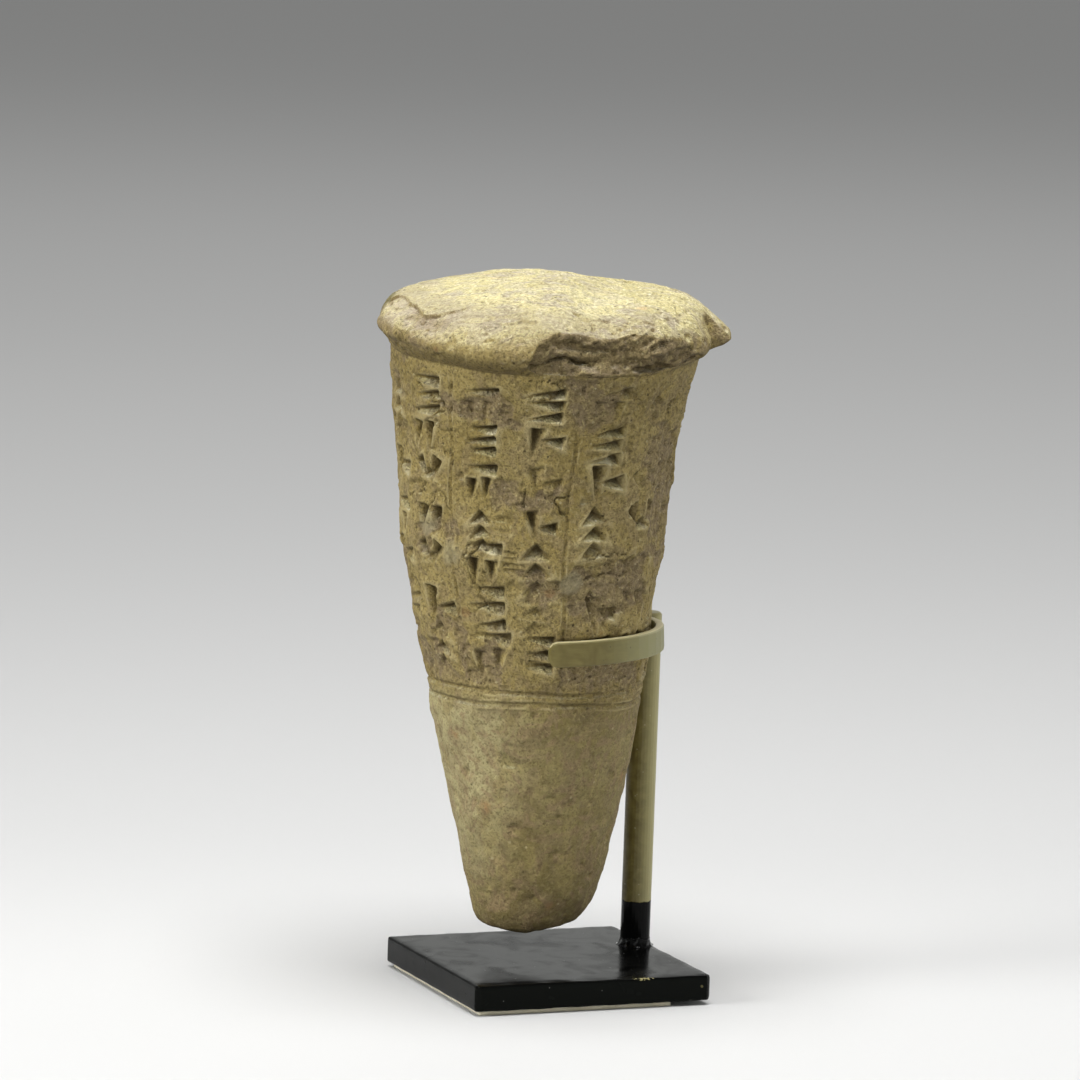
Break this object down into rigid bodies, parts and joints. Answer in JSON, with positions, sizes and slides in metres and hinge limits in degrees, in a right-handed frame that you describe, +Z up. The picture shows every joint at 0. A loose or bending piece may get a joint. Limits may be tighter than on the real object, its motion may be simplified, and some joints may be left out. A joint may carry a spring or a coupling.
{
  "type": "foundation cone on display stand",
  "caption": "Tall inscribed clay cone with a domed head and a chipped rim, tip down over a square base plate, held by an open band on an upright rod.",
  "frame": {"origin": "under the centre of the square base plate, on the felt pad's underside, which rests on the ground", "axes": "+Z up along the cone, from its tip to its head; +Y away from the plate's front edge; +X towards the side that carries the rod"},
  "size_m": [0.0688, 0.0651, 0.1427],
  "materials": {
    "fired_clay": "matt unglazed, worn",
    "khaki_paint": "satin hand-painted",
    "black_enamel": "gloss",
    "tan_felt": "felt"
  },
  "bodies": {
    "root": {"foundation_cone": "fired_clay", "holding_band": "khaki_paint", "upright_rod": "khaki_paint", "base_plate": "black_enamel", "felt_pad": "tan_felt"}
  },
  "joints": []
}
